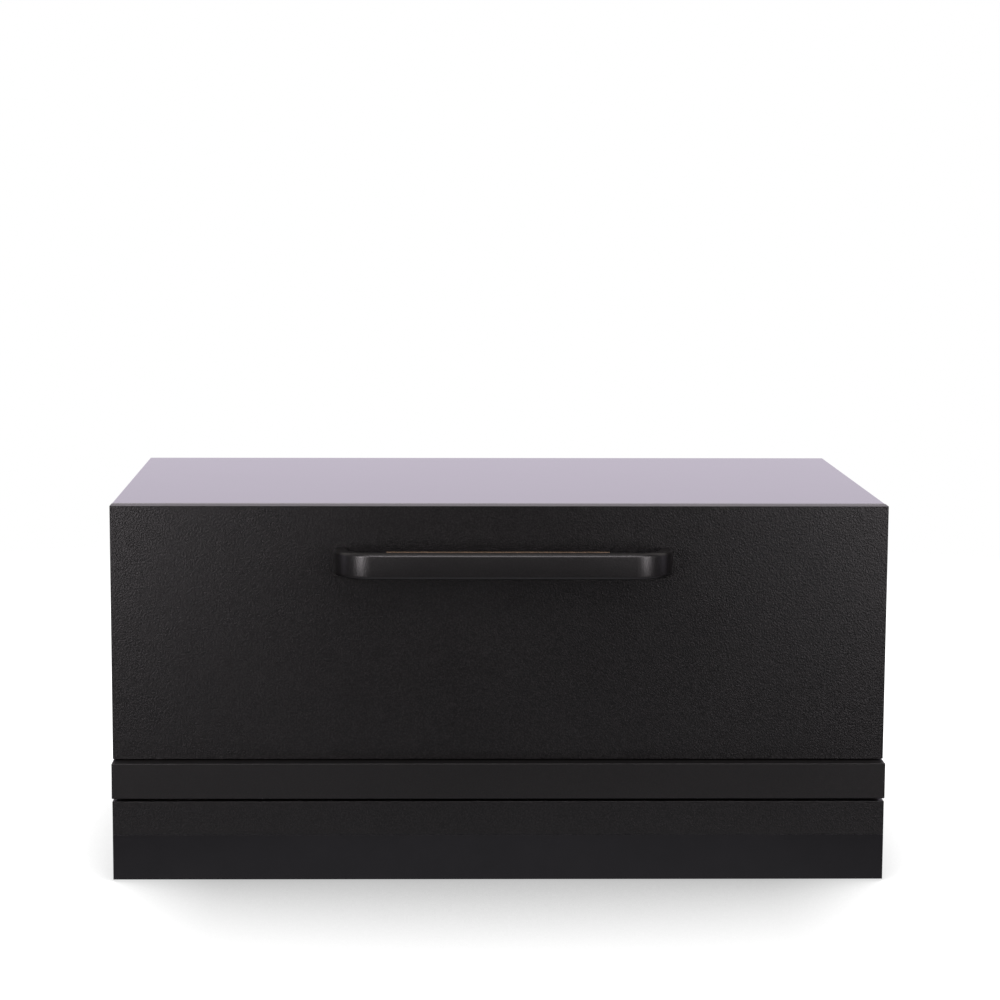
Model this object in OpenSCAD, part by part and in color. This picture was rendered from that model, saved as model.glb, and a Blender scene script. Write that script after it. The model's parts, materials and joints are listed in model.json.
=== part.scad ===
// Compact drawer-type trash compactor: a wide, low cabinet with one full-width drawer,
// a push-in toe bar that frees the drawer, and a ram plate driven down by two power screws.
// +X is right, -Y is the drawer front, +Z is up. The origin is on the floor, at the centre
// of the whole depth, handle included.

/* [Cabinet] */
// Width of the cabinet, the drawer front and the toe bar
cabinet_w = 600; // [590:1:620]
// Height from the floor to the top panel
cabinet_h = 293; // [290:1:300]
// Depth from the drawer front's face to the back panel
cabinet_d = 330; // [326:1:350]
// Thickness of the outer sheet steel
sheet_t = 1.5; // [1.2:0.1:2]
// Height of the top panel's folded edge
lid_fold = 14; // [12:1:16]

/* [Base] */
// How far the base and toe bar stand in front of the drawer front
base_step = 12; // [8:1:14]
// Height of the smooth kick plate's top edge
kick_h = 37; // [34:1:40]
// Height of the textured plinth's top edge
plinth_h = 63.5; // [60:0.5:64]
// Height of the rubber feet
foot_h = 6; // [5:1:8]
// Gap between the kick plate and the floor
kick_gap = 1.5; // [1:0.5:3]
// How far the base's sides stand inside the toe bar's ends
base_inset = 0.5; // [0:0.5:1]

/* [Toe bar] */
// Height of the toe bar
toe_h = 28; // [26:1:28]
// Gap under the toe bar
toe_gap = 2; // [1:0.5:2.5]
// Depth of the toe bar's channel
toe_d = 18; // [17:1:18]

/* [Drawer] */
// Gap between the toe bar and the drawer front
front_gap = 1; // [0.5:0.5:2]
// Thickness of the drawer front
front_t = 15; // [14:1:16]
// Length of the bin, front to back
bin_d = 250; // [220:2:250]
// Height of the bin's rim above the floor
bin_top = 186; // [160:1:186]
// Wall thickness of the bin
bin_t = 2; // [1.5:0.5:3]
// Length of the drawer slides
slide_l = 270; // [262:1:272]

/* [Handle] */
// Length of the handle, end to end
handle_w = 261; // [200:1:300]
// How far the handle stands out of the drawer front
handle_out = 36; // [32:1:44]
// Height of the grip's section
grip_h = 20; // [16:1:24]
// Thickness of the grip's section
grip_t = 11; // [9:1:13]
// Bend radius at the middle of the grip's section
grip_bend = 24; // [16:1:24]
// Corner radius of the grip's section
grip_corner = 3; // [1.5:0.5:4]
// Height of the handle's middle above the floor
handle_z = 251; // [220:1:260]
// How far the handle sits to the right of the drawer's middle
handle_offset = 2.5; // [-5:0.5:5]

/* [Ram] */
// Length of the ram box, side to side
ram_w = 460; // [400:2:460]
// Depth of the ram box, front to back
ram_d = 230; // [200:2:230]
// Height of the ram box
ram_h = 66; // [50:1:66]
// Distance of each power screw from the middle
screw_x = 276; // [274:1:277]
// Thread's outside radius
screw_r = 9; // [8:0.5:10]
// Thread pitch
screw_pitch = 6; // [5:1:8]
// Radius of the chain sprockets at their pitch line
sprocket_r = 18; // [15:0.5:18]

/* [Fit] */
// Radial clearance of a turning shaft in its bore
run_gap = 0.05; // [0.03:0.01:0.1]
// Gap around pieces that pass each other freely
free_gap = 0.5; // [0.4:0.1:0.8]

/* [Hidden] */
$fn = 48;
half_w = cabinet_w / 2;
base_x = half_w - base_inset;
back_y = (cabinet_d + handle_out) / 2;
front_y = back_y - cabinet_d;
base_y = front_y - base_step;
front_back_y = front_y + front_t;
mouth_y = front_back_y + 1;
lid_z = cabinet_h - lid_fold;
toe_z = plinth_h + toe_gap;
toe_top = toe_z + toe_h;
front_z = toe_top + front_gap;

pan_z = foot_h;
pan_t = 2;
floor_z = pan_z + pan_t;
frame_x = 262;
frame_t = 2;
frame_front = mouth_y + 5;
frame_back = back_y - 7;
frame_top = cabinet_h - 12;
deck_z = 86;
deck_t = 2;
rail_y = mouth_y;
rail_t = 2;

tray_x = frame_x - 12.7;
tray_z = front_z + 2.3;
tray_t = 1.2;
tray_top = 140;
bin_z = tray_z + tray_t;
bin_x = tray_x - 9.3;
slide_z = 124;
slide_front = mouth_y + 3;

ram_z = bin_top + 6;
beam_z = ram_z + ram_h;
beam_h = 18;
beam_half_y = 20;
beam_half_x = 291;
nut_r = 14;
journal_r = 6;
sync_z = 22;
drive_z = 34;
sprocket_t = 2.8;
chain_h = 6.4;
gear_x = 200;
gear_y = 62;
thread_z = 62;

rod_x = 200;
rod_z = toe_z + toe_h / 2;
rod_r = 4;
latch_y = mouth_y + 20;
latch_z = 60;

leg_x = (handle_w - grip_t) / 2;
handle_holes = [handle_offset - leg_x, handle_offset + leg_x];

pocket_y = front_y + 65;
pocket_z = 220;
pocket_half = 30;
start_at = [pocket_y - 16, pocket_z + 15];
key_at = [pocket_y + 16, pocket_z + 15];
power_at = [pocket_y, pocket_z - 13];

screw_head_r = 4;
anchor_x = 220;
anchor_z = 250;
anchor_r = 3.25;
vent_x = 75;
vent_z = 96;
inlet_x = -180;
inlet_z = 48;
inlet_half_x = 14;
inlet_half_z = 10.5;
cover_half_x = 42;
cover_top = 74;

side_screws = [for (y = [mouth_y + 12, back_y - 12], z = [80, 170, 265]) [y, z]];
back_screws = [for (x = [-285, 0, 285], z = [30, 150, 270]) [x, z]];
cover_screws = [for (x = [-30, 30]) [inlet_x + x, inlet_z + 4]];

// A box from its lowest corner to its highest corner
module block(lo, hi) {
    translate(lo) cube(hi - lo);
}

// A cylinder along X, Y or Z that starts at a point
module rod_along_x(at, r, l) {
    translate(at) rotate([0, 90, 0]) cylinder(r = r, h = l);
}
module rod_along_y(at, r, l) {
    translate(at) rotate([-90, 0, 0]) cylinder(r = r, h = l);
}
module rod_along_z(at, r, l) {
    translate(at) cylinder(r = r, h = l);
}

// A sheet-steel wrap round the front and both sides, open at the back
module base_wrap(z0, z1) {
    difference() {
        block([-base_x, base_y, z0], [base_x, back_y - sheet_t, z1]);
        block([-base_x + sheet_t, base_y + sheet_t, z0 - 1], [base_x - sheet_t, back_y, z1 + 1]);
    }
}

// Two chain side-plate loops round two equal sprockets, with pins along the straight runs
module chain_loop(from, to, z) {
    run = to - from;
    length = norm(run);
    turn = atan2(run[1], run[0]);
    plate_t = 1.2;
    pin_pitch = 12.7;
    pin_count = floor((length - 2 * sprocket_r) / pin_pitch);
    translate([from[0], from[1], z]) rotate([0, 0, turn]) {
        for (level = [0, chain_h - plate_t])
            translate([0, 0, level]) linear_extrude(plate_t) difference() {
                union() {
                    circle(r = sprocket_r + 2.2);
                    translate([length, 0]) circle(r = sprocket_r + 2.2);
                    translate([0, -sprocket_r - 2.2]) square([length, 2 * sprocket_r + 4.4]);
                }
                circle(r = sprocket_r - 2.2);
                translate([length, 0]) circle(r = sprocket_r - 2.2);
                translate([0, 2.2 - sprocket_r]) square([length, 2 * sprocket_r - 4.4]);
            }
        for (i = [0 : pin_count - 1], side = [-1, 1])
            translate([sprocket_r + pin_pitch * (i + 0.5), side * sprocket_r, plate_t / 2])
                cylinder(r = 1.6, h = chain_h - plate_t, $fn = 16);
    }
}

// A toothed disc with a boss, centred in its chain's height
module sprocket(at, z) {
    teeth = 12;
    difference() {
        union() {
            translate([at[0], at[1], z + (chain_h - sprocket_t) / 2]) {
                cylinder(r = sprocket_r - 2.4, h = sprocket_t);
                for (i = [0 : teeth - 1]) rotate([0, 0, i * 360 / teeth])
                    translate([sprocket_r - 3.5, -1.4, 0]) cube([4, 2.8, sprocket_t]);
            }
            translate([at[0], at[1], z - 1]) cylinder(r = 11, h = chain_h + 2);
        }
        translate([at[0], at[1], z - 2]) cylinder(r = journal_r + run_gap, h = chain_h + 4);
    }
}

// A power screw: plain journals, a ring-grooved threaded length
module power_screw(x) {
    top_z = frame_top + 4;
    rings = floor((beam_z + 23 - thread_z) / screw_pitch);
    crest = screw_pitch * 0.36;
    profile = concat(
        [[0, floor_z + 2], [journal_r, floor_z + 2], [journal_r, thread_z]],
        [for (i = [0 : rings - 1], k = [0 : 3])
            [k == 1 || k == 2 ? screw_r : screw_r - 1.6,
             thread_z + screw_pitch * i + [0.3, 1.2, 1.2 + crest, 2.1 + crest][k]]],
        [[journal_r, thread_z + screw_pitch * rings], [journal_r, top_z], [0, top_z]]
    );
    translate([x, 0, 0]) rotate_extrude() polygon(profile);
}

// A drawer slide's channel, its open side away from the web. web and lip are distances from
// the inner frame's plate towards the middle
module slide_channel(side, web, lip, half_z, y0, y1) {
    t = 1.2;
    outer = [min(web, lip), max(web, lip)];
    hollow = web < lip ? [outer[0] + t, outer[1] + 1] : [outer[0] - 1, outer[1] - t];
    mirror([side == 1 ? 0 : 1, 0, 0]) difference() {
        block([frame_x - outer[1], y0, slide_z - half_z], [frame_x - outer[0], y1, slide_z + half_z]);
        block([frame_x - hollow[1], y0 - 1, slide_z - half_z + t],
              [frame_x - hollow[0], y1 + 1, slide_z + half_z - t]);
    }
}

// ---- Casing ----

module base_pan() {
    inner = base_x - sheet_t;
    color("silver") difference() {
        block([-inner, base_y + sheet_t, pan_z], [inner, back_y - sheet_t, pan_z + 14]);
        block([-inner + pan_t, base_y + sheet_t + pan_t, floor_z],
              [inner - pan_t, back_y - sheet_t - pan_t, pan_z + 15]);
    }
}

module feet() {
    color("dimgray") for (x = [-255, 255], y = [base_y + 34, back_y - 36])
        rod_along_z([x, y, 0], 15, foot_h);
}

module kick_plate() {
    color("black") base_wrap(kick_gap, kick_h);
}

module plinth_panel() {
    color("darkslategray") {
        base_wrap(kick_h, plinth_h);
        block([-base_x + sheet_t, base_y + sheet_t, plinth_h - sheet_t],
              [base_x - sheet_t, mouth_y - free_gap, plinth_h]);
    }
}

// A side panel with folded front and rear edges, and a cheek that closes the toe bar's end.
// side is -1 or 1
module side_panel(side) {
    outer = side * half_w;
    inner = side * (half_w - sheet_t);
    fold = side * (half_w - 22);
    cheek = [side * (half_w - sheet_t - 0.3), side * (half_w - sheet_t - 1.8)];
    difference() {
        union() {
            block([min(outer, inner), mouth_y, plinth_h],
                  [max(outer, inner), back_y - sheet_t, lid_z]);
            for (y = [mouth_y, back_y - 2 * sheet_t])
                block([min(fold, inner), y, plinth_h], [max(fold, inner), y + sheet_t, lid_z]);
            block([min(cheek), mouth_y - 16, toe_z + 2], [max(cheek), mouth_y, toe_top - 2]);
        }
        for (s = side_screws)
            rod_along_x([side * half_w - 2, s[0], s[1]], screw_head_r, 4);
    }
}

module left_side_panel() {
    color("darkslategray") side_panel(-1);
}

module right_side_panel() {
    color("darkslategray") difference() {
        side_panel(1);
        block([half_w - 3, pocket_y - pocket_half, pocket_z - pocket_half],
              [half_w + 1, pocket_y + pocket_half, pocket_z + pocket_half]);
    }
}

module top_panel() {
    color("dimgray") difference() {
        block([-half_w, mouth_y, lid_z], [half_w, back_y, cabinet_h]);
        block([-half_w + sheet_t, mouth_y + sheet_t, lid_z - 1],
              [half_w - sheet_t, back_y - sheet_t, cabinet_h - sheet_t]);
    }
}

module back_panel() {
    color("gray") difference() {
        block([-half_w, back_y - sheet_t, pan_z + 14], [half_w, back_y, lid_z]);
        for (s = back_screws)
            rod_along_y([s[0], back_y - 3, s[1]], screw_head_r, 5);
        for (x = [-anchor_x, anchor_x])
            rod_along_y([x, back_y - 3, anchor_z], anchor_r, 5);
        for (row = [0 : 7], x = [-vent_x, vent_x])
            block([x - 55, back_y - 3, vent_z + 12 * row], [x + 55, back_y + 1, vent_z + 12 * row + 4]);
        block([inlet_x - cover_half_x, back_y - 3, pan_z + 13],
              [inlet_x + cover_half_x, back_y + 1, cover_top]);
    }
}

// A small cover at the foot of the back panel that carries the power inlet
module inlet_cover() {
    edge = cover_half_x - free_gap / 2;
    color("gray") difference() {
        block([inlet_x - edge, back_y - sheet_t, pan_z + 14],
              [inlet_x + edge, back_y, cover_top - free_gap / 2]);
        block([inlet_x - inlet_half_x, back_y - 3, inlet_z - inlet_half_z],
              [inlet_x + inlet_half_x, back_y + 1, inlet_z + inlet_half_z]);
        for (s = cover_screws)
            rod_along_y([s[0], back_y - 3, s[1]], screw_head_r, 5);
    }
}

// ---- Inner frame ----

// An upright inner side plate with a slot for the ram beam and a window for the chains
module side_frame(side) {
    near = side * frame_x;
    far = side * (frame_x + frame_t);
    difference() {
        union() {
            block([min(near, far), frame_front, floor_z], [max(near, far), frame_back, frame_top]);
            for (y = [frame_front, frame_back - frame_t])
                block([min(near, side * (frame_x + 14)), y, floor_z + 14],
                      [max(near, side * (frame_x + 14)), y + frame_t, frame_top]);
        }
        block([side * frame_x - 3, -beam_half_y - 4, bin_top - 6],
              [side * frame_x + 3, beam_half_y + 4, frame_top - 2]);
        block([side * frame_x - 3, -30, floor_z - 1], [side * frame_x + 3, 60, floor_z + 46]);
    }
}

module left_frame() {
    color("lightsteelblue") side_frame(-1);
}

module right_frame() {
    color("lightsteelblue") side_frame(1);
}

module top_frame() {
    rim = half_w - sheet_t - 1;
    color("lightsteelblue") difference() {
        block([-rim, mouth_y + sheet_t + 0.5, frame_top], [rim, back_y - sheet_t - 3, frame_top + 3]);
        block([-240, mouth_y + 33, frame_top - 1], [240, back_y - 35, frame_top + 4]);
        for (x = [-screw_x, screw_x]) rod_along_z([x, 0, frame_top - 1], 11, 5);
    }
}

module deck_plate() {
    color("lightsteelblue") difference() {
        block([-frame_x, rail_y + rail_t, deck_z], [frame_x, frame_back, deck_z + deck_t]);
        block([-18, latch_y - 14, deck_z - 1], [18, latch_y + 26, deck_z + 3]);
    }
}

module front_rail() {
    ear_x = 16;
    color("lightsteelblue") {
        difference() {
            block([-half_w + 24, rail_y, floor_z + 47], [half_w - 24, rail_y + rail_t, deck_z + deck_t]);
            for (x = [-rod_x, rod_x]) rod_along_y([x, rail_y - 1, rod_z], 6, 4);
            block([-13, rail_y - 1, rod_z - 5], [13, rail_y + 3, rod_z + 5]);
        }
        for (side = [-1, 1]) difference() {
            block([side * ear_x - 1.5, rail_y + rail_t, latch_z - 5],
                  [side * ear_x + 1.5, latch_y + 5, latch_z + 5]);
            rod_along_x([side * ear_x - 2, latch_y, latch_z], 2.5 + run_gap, 4);
        }
    }
}

// ---- Drive ----

module gearmotor_can() {
    color("gray") {
        rod_along_x([62, gear_y + 4, 56], 27, 104);
        rod_along_x([52, gear_y + 4, 56], 22, 10);
        for (i = [0 : 5]) rod_along_x([80 + 13 * i, gear_y + 4, 56], 28, 3);
    }
}

module gearbox() {
    color("darkgray") difference() {
        block([166, gear_y - 28, 45], [234, gear_y + 34, deck_z - 2]);
        rod_along_z([gear_x, gear_y, 44], journal_r + run_gap, 20);
    }
}

module motor_bracket() {
    color("silver") {
        block([168, gear_y + 36, floor_z], [232, gear_y + 38, 76]);
        block([168, gear_y + 34, 60], [232, gear_y + 36, 76]);
        block([168, gear_y + 38, floor_z], [232, gear_y + 58, floor_z + 2]);
        block([70, gear_y - 16, floor_z], [78, gear_y + 24, 29]);
    }
}

module motor_capacitor() {
    color("lightgray") {
        rod_along_x([-70, 120, 34], 20, 90);
        block([-45, 112, floor_z], [-5, 128, 15]);
        for (y = [113, 127]) block([20, y - 3, 33], [30, y + 3, 34]);
    }
}

module control_board() {
    color("darkgreen") {
        block([-240, 60, floor_z + 10], [-130, 150, floor_z + 11.6]);
        for (x = [-234, -136], y = [66, 144]) rod_along_z([x, y, floor_z], 3, 10);
        block([-230, 74, floor_z + 11.6], [-200, 104, floor_z + 38]);
        block([-190, 80, floor_z + 11.6], [-172, 98, floor_z + 28]);
        for (x = [-190, -168, -146]) rod_along_z([x, 130, floor_z + 11.6], 7, 20);
    }
}

module drive_chain() {
    color("slategray") chain_loop([screw_x, 0], [gear_x, gear_y], drive_z);
}

module sync_chain() {
    color("slategray") chain_loop([-screw_x, 0], [screw_x, 0], sync_z);
}

module screw_bearings() {
    color("darkgray") for (x = [-screw_x, screw_x]) difference() {
        rod_along_z([x, 0, floor_z], 16, 11);
        rod_along_z([x, 0, floor_z + 2 - run_gap], journal_r + run_gap, 12);
    }
}

module screw_bushings() {
    color("goldenrod") for (x = [-screw_x, screw_x]) difference() {
        union() {
            rod_along_z([x, 0, frame_top], 11, 4);
            rod_along_z([x, 0, frame_top + 3], 14, 1);
        }
        rod_along_z([x, 0, frame_top - 1], journal_r + run_gap, 6);
    }
}

module power_inlet() {
    socket_d = 17;
    color("black") difference() {
        block([inlet_x - inlet_half_x, back_y - 25, inlet_z - inlet_half_z],
              [inlet_x + inlet_half_x, back_y, inlet_z + inlet_half_z]);
        block([inlet_x - 12, back_y - socket_d, inlet_z - 8], [inlet_x + 12, back_y + 1, inlet_z + 8]);
    }
}

// ---- Controls, in a pocket of the right side panel ----

module control_pocket() {
    floor_x = half_w - 6;
    edge = pocket_half - free_gap / 2;
    color("black") difference() {
        union() {
            block([floor_x, pocket_y - pocket_half - 3, pocket_z - pocket_half - 3],
                  [half_w - sheet_t, pocket_y + pocket_half + 3, pocket_z + pocket_half + 3]);
            block([floor_x, pocket_y - edge, pocket_z - edge], [half_w, pocket_y + edge, pocket_z + edge]);
        }
        block([floor_x + 2, pocket_y - edge + 2, pocket_z - edge + 2],
              [half_w + 1, pocket_y + edge - 2, pocket_z + edge - 2]);
        rod_along_x([floor_x - 1, start_at[0], start_at[1]], 8, 4);
        rod_along_x([floor_x - 1, key_at[0], key_at[1]], 8, 4);
        block([floor_x - 1, power_at[0] - 7, power_at[1] - 15],
              [floor_x + 3, power_at[0] + 7, power_at[1] + 15]);
    }
}

module start_switch() {
    color("dimgray") block([half_w - 30, start_at[0] - 10, start_at[1] - 10],
                           [half_w - 15, start_at[0] + 10, start_at[1] + 10]);
}

module power_switch() {
    color("dimgray") difference() {
        block([half_w - 30, power_at[0] - 9, power_at[1] - 17],
              [half_w - 6, power_at[0] + 9, power_at[1] + 17]);
        block([half_w - 13, power_at[0] - 7, power_at[1] - 15],
              [half_w - 5, power_at[0] + 7, power_at[1] + 15]);
        rod_along_y([half_w - 10, power_at[0] - 8.6, power_at[1]], 1.5 + run_gap, 17.2);
    }
}

module key_switch() {
    color("dimgray") difference() {
        block([half_w - 28, key_at[0] - 10, key_at[1] - 10], [half_w - 6, key_at[0] + 10, key_at[1] + 10]);
        rod_along_x([half_w - 20, key_at[0], key_at[1]], 7 + run_gap, 16);
    }
}

module start_button() {
    color("seagreen") rod_along_x([half_w - 12, start_at[0], start_at[1]], 7.5, 11.2);
}

// The rocker leans with its lower half pressed: the off position
module power_rocker() {
    lean = 8;
    color("firebrick") translate([half_w - 10, power_at[0], power_at[1]]) rotate([0, lean, 0]) {
        block([0, -6.5, -13], [7, 6.5, 13]);
        rod_along_y([0, -8.5, 0], 1.5, 17);
    }
}

module key_cylinder() {
    color("silver") difference() {
        rod_along_x([half_w - 19.5, key_at[0], key_at[1]], 7, 17);
        block([half_w - 5, key_at[0] - 0.9, key_at[1] - 4.5],
              [half_w - 2, key_at[0] + 0.9, key_at[1] + 4.5]);
    }
}

module ram_limit_switch() {
    color("black") {
        block([frame_x - 14, 30, 254], [frame_x, 40, 274]);
        block([frame_x - 12, 29.5, 252], [frame_x - 6, 40.5, 254]);
    }
}

// ---- Drawer slides ----

module slide_outer_members() {
    color("silver") for (side = [-1, 1])
        slide_channel(side, 0, 10, 22.5, slide_front, slide_front + slide_l);
}

module slide_middle_members() {
    color("silver") for (side = [-1, 1])
        slide_channel(side, 4, 11, 17, slide_front + 2, slide_front + slide_l - 8);
}

module slide_inner_members() {
    color("silver") for (side = [-1, 1])
        slide_channel(side, 12.7, 6.5, 11, front_back_y + 1.5, slide_front + slide_l - 14);
}

// ---- Toe bar and catch ----

module toe_bar() {
    outer_back = base_y + toe_d;
    color("darkslategray") {
        difference() {
            block([-half_w, base_y, toe_z], [half_w, outer_back, toe_top]);
            block([-half_w + sheet_t, base_y + sheet_t, toe_z + sheet_t],
                  [half_w - sheet_t, outer_back + 1, toe_top - sheet_t]);
        }
        block([-10, base_y + sheet_t, rod_z - 1.5], [10, latch_y - 2.6, rod_z + 1.5]);
    }
}

module toe_bar_rods() {
    color("silver") for (x = [-rod_x, rod_x]) {
        rod_along_y([x, base_y + sheet_t, rod_z], rod_r, 58);
        rod_along_y([x, base_y + sheet_t, rod_z], 8, 2);
    }
}

module toe_bar_bushings() {
    color("ivory") for (x = [-rod_x, rod_x]) difference() {
        union() {
            rod_along_y([x, rail_y, rod_z], 6, 12);
            rod_along_y([x, rail_y + rail_t, rod_z], 6.4, 2);
        }
        rod_along_y([x, rail_y - 1, rod_z], rod_r + run_gap, 14);
    }
}

// Return springs round the guide rods, drawn as close rings joined by a seam bar
module toe_bar_springs() {
    start = base_y + sheet_t + 2.2;
    length = rail_y - start - 0.2;
    turns = 7;
    color("gainsboro") for (x = [-rod_x, rod_x]) translate([x, start, rod_z]) {
        for (i = [0 : turns])
            translate([0, 0.7 + i * (length - 1.4) / turns, 0]) rotate([-90, 0, 0])
                rotate_extrude() translate([5.4, 0]) circle(r = 0.7, $fn = 16);
        rod_along_y([0, 0.7, 5.4], 0.6, length - 1.4);
    }
}

module latch_pin() {
    color("silver") rod_along_x([-20, latch_y, latch_z], 2.5, 40);
}

module latch_lever() {
    color("lightgray") difference() {
        union() {
            block([-12, latch_y - 2, latch_z - 4], [12, latch_y + 2, deck_z]);
            rod_along_x([-12, latch_y, latch_z], 5.5, 24);
        }
        rod_along_x([-13, latch_y, latch_z], 2.5 + run_gap, 26);
    }
}

module latch_magnet() {
    color("dimgray") block([-12, latch_y - 2, deck_z], [12, latch_y + 4, tray_z - 2.6]);
}

module latch_strike() {
    color("silver") block([-20, latch_y - 8, tray_z - 2], [20, latch_y + 10, tray_z]);
}

module odor_filter() {
    color("dimgray") difference() {
        block([-110, 142, deck_z + deck_t], [110, 166, 176]);
        for (i = [-9 : 9]) block([i * 11 - 3, 141, 104], [i * 11 + 3, 148, 168]);
    }
}

// Countersunk screws that close the side and back panels
module cabinet_screws() {
    slot_d = 0.8;
    color("dimgray") {
        for (side = [-1, 1], s = side_screws) difference() {
            rod_along_x([side == 1 ? half_w - sheet_t : -half_w, s[0], s[1]], screw_head_r - 0.2, sheet_t);
            block([side * half_w - slot_d, s[0] - 2.4, s[1] - 0.4],
                  [side * half_w + slot_d, s[0] + 2.4, s[1] + 0.4]);
            block([side * half_w - slot_d, s[0] - 0.4, s[1] - 2.4],
                  [side * half_w + slot_d, s[0] + 0.4, s[1] + 2.4]);
        }
        for (s = concat(back_screws, cover_screws)) difference() {
            rod_along_y([s[0], back_y - sheet_t, s[1]], screw_head_r - 0.2, sheet_t);
            block([s[0] - 2.4, back_y - slot_d, s[1] - 0.4], [s[0] + 2.4, back_y + 1, s[1] + 0.4]);
            block([s[0] - 0.4, back_y - slot_d, s[1] - 2.4], [s[0] + 0.4, back_y + 1, s[1] + 2.4]);
        }
    }
}

// ---- Drawer ----

module drawer_skin() {
    color("darkslategray") difference() {
        block([-half_w, front_y, front_z], [half_w, front_back_y - sheet_t, cabinet_h]);
        block([-half_w + sheet_t, front_y + sheet_t, front_z + sheet_t],
              [half_w - sheet_t, front_back_y, cabinet_h - sheet_t]);
        for (x = handle_holes) rod_along_y([x, front_y - 1, handle_z], 2.6, 4);
    }
}

module drawer_liner() {
    color("gray") difference() {
        block([-half_w, front_back_y - sheet_t, front_z], [half_w, front_back_y, cabinet_h]);
        for (x = handle_holes) rod_along_y([x, front_y, handle_z], 2.6, 20);
    }
}

// The grip's section: a rectangle with round corners
module grip_section() {
    for (u = [-1, 1], v = [-1, 1])
        translate([u * (grip_t / 2 - grip_corner), v * (grip_h / 2 - grip_corner)]) circle(r = grip_corner);
    square([grip_t, grip_h - 2 * grip_corner], center = true);
    square([grip_t - 2 * grip_corner, grip_h], center = true);
}

module handle() {
    bar_y = front_y - handle_out + grip_t / 2;
    color("darkslategray") translate([handle_offset, 0, handle_z]) difference() {
        union() {
            translate([-leg_x + grip_bend, bar_y, 0]) rotate([90, 0, 90])
                linear_extrude(2 * (leg_x - grip_bend)) grip_section();
            for (side = [-1, 1]) {
                translate([side * (leg_x - grip_bend), bar_y + grip_bend, 0])
                    rotate([0, 0, side == 1 ? 270 : 180])
                    rotate_extrude(angle = 90) translate([grip_bend, 0]) grip_section();
                translate([side * leg_x, bar_y + grip_bend, 0]) rotate([-90, 0, 0])
                    linear_extrude(front_y - bar_y - grip_bend) grip_section();
            }
        }
        for (side = [-1, 1]) rod_along_y([side * leg_x, front_y - 12, 0], 2.1, 14);
    }
}

module handle_screws() {
    color("silver") for (x = handle_holes) {
        rod_along_y([x, front_y - 11, handle_z], 2, 11 + front_t);
        rod_along_y([x, front_back_y, handle_z], 4, 0.8);
    }
}

// Five sheets: a floor, two sides, a front and a rear
module drawer_tray() {
    in_x = tray_x - tray_t;
    rear_y = bin_d / 2 + 4;
    front_in = front_back_y + tray_t + run_gap;
    rear_in = rear_y - tray_t - run_gap;
    color("silver") {
        block([-in_x + run_gap, front_in, tray_z], [in_x - run_gap, rear_in, tray_z + tray_t]);
        for (s = [0, 1]) mirror([s, 0, 0])
            block([in_x, front_back_y, tray_z], [tray_x, rear_y, tray_top]);
        for (y = [front_back_y, rear_y - tray_t])
            block([-in_x + run_gap, y, tray_z], [in_x - run_gap, y + tray_t, tray_top]);
    }
}

// Five sheets: a floor, two sides and two ends, each wall with a rim turned outwards
module bin() {
    rim = 4;
    in_x = bin_x - bin_t;
    in_y = bin_d / 2 - bin_t;
    color("dimgray") {
        block([-in_x + run_gap, -in_y + run_gap, bin_z], [in_x - run_gap, in_y - run_gap, bin_z + bin_t]);
        for (s = [0, 1]) mirror([s, 0, 0]) {
            block([in_x, -bin_d / 2, bin_z], [bin_x, bin_d / 2, bin_top]);
            block([in_x, -bin_d / 2 - rim, bin_top - 6], [bin_x + rim, bin_d / 2 + rim, bin_top]);
        }
        for (s = [0, 1]) mirror([0, s, 0]) {
            block([-in_x + run_gap, in_y, bin_z], [in_x - run_gap, in_y + bin_t, bin_top]);
            block([-in_x + run_gap, in_y, bin_top - 6], [in_x - run_gap, in_y + bin_t + rim, bin_top]);
        }
    }
}

// ---- Ram ----

module ram_box() {
    wall = 2.5;
    color("lightgray") {
        difference() {
            block([-ram_w / 2, -ram_d / 2, ram_z], [ram_w / 2, ram_d / 2, beam_z]);
            block([-ram_w / 2 + wall, -ram_d / 2 + wall, ram_z + 3],
                  [ram_w / 2 - wall, ram_d / 2 - wall, beam_z + 1]);
        }
        for (y = [-beam_half_y, beam_half_y - wall])
            block([-ram_w / 2 + wall, y, ram_z + 3], [ram_w / 2 - wall, y + wall, beam_z]);
    }
}

// A solid bar, bored for the two nuts and the four bolts
module ram_beam() {
    color("steelblue") difference() {
        block([-beam_half_x, -beam_half_y, beam_z], [beam_half_x, beam_half_y, beam_z + beam_h]);
        for (x = [-screw_x, screw_x]) rod_along_z([x, 0, beam_z - 1], nut_r, beam_h + 2);
        for (x = [-180, -60, 60, 180]) rod_along_z([x, 0, beam_z - 1], 4.1, beam_h + 2);
    }
}

module ram_nuts() {
    color("goldenrod") for (x = [-screw_x, screw_x]) difference() {
        union() {
            rod_along_z([x, 0, beam_z - 3], nut_r, beam_h + 6);
            rod_along_z([x, 0, beam_z - 6], nut_r + 3, 6);
        }
        rod_along_z([x, 0, beam_z - 7], screw_r + run_gap, beam_h + 11);
    }
}

module ram_bolts() {
    color("silver") for (x = [-180, -60, 60, 180]) {
        rod_along_z([x, 0, beam_z - 8], 4, beam_h + 8);
        rod_along_z([x, 0, beam_z + beam_h], 7, 2.4);
        rod_along_z([x, 0, beam_z - 8], 7, 7.5);
    }
}

module left_power_screw() {
    color("silver") power_screw(-screw_x);
}

module left_sprocket() {
    color("slategray") sprocket([-screw_x, 0], sync_z);
}

module right_power_screw() {
    color("silver") power_screw(screw_x);
}

module right_sprocket() {
    color("slategray") {
        sprocket([screw_x, 0], sync_z);
        sprocket([screw_x, 0], drive_z);
    }
}

module drive_sprocket() {
    color("slategray") {
        sprocket([gear_x, gear_y], drive_z);
        rod_along_z([gear_x, gear_y, drive_z - 1], journal_r, 28);
    }
}

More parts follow.
